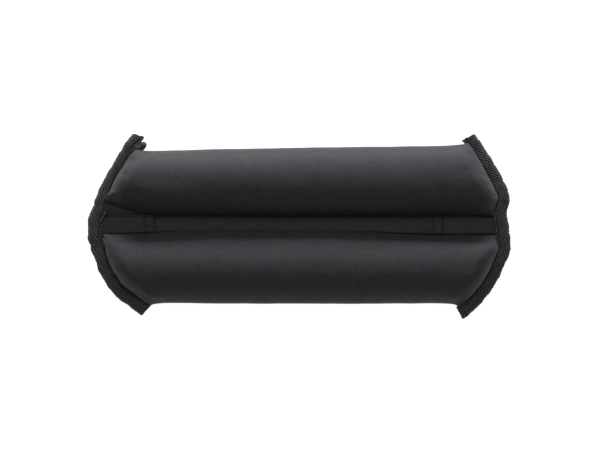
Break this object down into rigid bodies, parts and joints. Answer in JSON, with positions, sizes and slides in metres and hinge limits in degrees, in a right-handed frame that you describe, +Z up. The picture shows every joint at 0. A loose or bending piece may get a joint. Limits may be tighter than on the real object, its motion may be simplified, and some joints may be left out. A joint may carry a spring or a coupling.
{
  "type": "ankle cuff weight",
  "caption": "Soft ankle cuff weight: two sand-filled neoprene tubes sewn to a flat centre band, bound at both ends, with a webbing strap and a ring beneath.",
  "frame": {"origin": "centre of the cuff's length and width, on the surface that it lies on", "axes": "+X along the cuff towards the end that the strap's tail leaves, +Y across the cuff, +Z up, away from the strap, towards the face that goes against the leg"},
  "size_m": [0.31, 0.134, 0.042],
  "materials": {
    "neoprene": "matt knit-faced",
    "binding_tape": "matt twill",
    "webbing": "matt woven",
    "hook_tape": "matt",
    "thread": "satin",
    "bag_nylon": "matt coated",
    "iron_sand": "granular",
    "steel_wire": "bright"
  },
  "bodies": {
    "left_end": {"tube_covers_left_end": "neoprene", "centre_band_left_end": "neoprene", "sand_bags_left_end": "bag_nylon", "iron_sand_left_end": "iron_sand", "strap_left_end": "webbing", "seam_stitches_left_end": "thread", "end_binding_left": "binding_tape", "binding_stitches_left": "thread", "cross_stitches_left": "thread", "ring_tab": "webbing"},
    "left_mid": {"tube_covers_left_mid": "neoprene", "centre_band_left_mid": "neoprene", "sand_bags_left_mid": "bag_nylon", "iron_sand_left_mid": "iron_sand", "strap_left_mid": "webbing", "seam_stitches_left_mid": "thread"},
    "centre": {"tube_covers_centre": "neoprene", "centre_band_centre": "neoprene", "sand_bags_centre": "bag_nylon", "iron_sand_centre": "iron_sand", "strap_centre": "webbing", "seam_stitches_centre": "thread"},
    "right_mid": {"tube_covers_right_mid": "neoprene", "centre_band_right_mid": "neoprene", "sand_bags_right_mid": "bag_nylon", "iron_sand_right_mid": "iron_sand", "strap_right_mid": "webbing", "seam_stitches_right_mid": "thread"},
    "right_end": {"tube_covers_right_end": "neoprene", "centre_band_right_end": "neoprene", "sand_bags_right_end": "bag_nylon", "iron_sand_right_end": "iron_sand", "strap_right_end": "webbing", "seam_stitches_right_end": "thread", "end_binding_right": "binding_tape", "binding_stitches_right": "thread", "cross_stitches_right": "thread"},
    "ring": {"ring": "steel_wire"},
    "strap_tail": {"strap_fold": "webbing", "strap_tail": "webbing", "hook_patch": "hook_tape", "tail_tip": "webbing"}
  },
  "joints": [
    {"name": "bend_left_inner", "type": "hinge", "parent": "centre", "child": "left_mid", "pos_m": [-0.031, 0, 0.014], "axis": [0, 1, 0], "range_deg": [0, 55], "deforming": ["tube_covers_centre", "centre_band_centre", "sand_bags_centre", "iron_sand_centre", "seam_stitches_centre", "tube_covers_left_mid", "centre_band_left_mid", "sand_bags_left_mid", "iron_sand_left_mid", "seam_stitches_left_mid"]},
    {"name": "bend_left_outer", "type": "hinge", "parent": "left_mid", "child": "left_end", "pos_m": [-0.093, 0, 0.014], "axis": [0, 1, 0], "range_deg": [0, 55], "deforming": ["tube_covers_left_mid", "centre_band_left_mid", "sand_bags_left_mid", "iron_sand_left_mid", "seam_stitches_left_mid", "tube_covers_left_end", "centre_band_left_end", "sand_bags_left_end", "iron_sand_left_end", "seam_stitches_left_end"]},
    {"name": "bend_right_inner", "type": "hinge", "parent": "centre", "child": "right_mid", "pos_m": [0.031, 0, 0.014], "axis": [0, -1, 0], "range_deg": [0, 55], "deforming": ["tube_covers_centre", "centre_band_centre", "sand_bags_centre", "iron_sand_centre", "seam_stitches_centre", "tube_covers_right_mid", "centre_band_right_mid", "sand_bags_right_mid", "iron_sand_right_mid", "seam_stitches_right_mid"]},
    {"name": "bend_right_outer", "type": "hinge", "parent": "right_mid", "child": "right_end", "pos_m": [0.093, 0, 0.014], "axis": [0, -1, 0], "range_deg": [0, 55], "deforming": ["tube_covers_right_mid", "centre_band_right_mid", "sand_bags_right_mid", "iron_sand_right_mid", "seam_stitches_right_mid", "tube_covers_right_end", "centre_band_right_end", "sand_bags_right_end", "iron_sand_right_end", "seam_stitches_right_end"]},
    {"name": "strap_unfold", "type": "hinge", "parent": "right_end", "child": "strap_tail", "pos_m": [0.141, 0, 0.0116], "axis": [0, -1, 0], "range_deg": [0, 180], "deforming": ["strap_fold"]},
    {"name": "ring_swing", "type": "hinge", "parent": "left_end", "child": "ring", "pos_m": [-0.139, 0, 0.0039], "axis": [0, -1, 0], "range_deg": [-15, 150]}
  ]
}
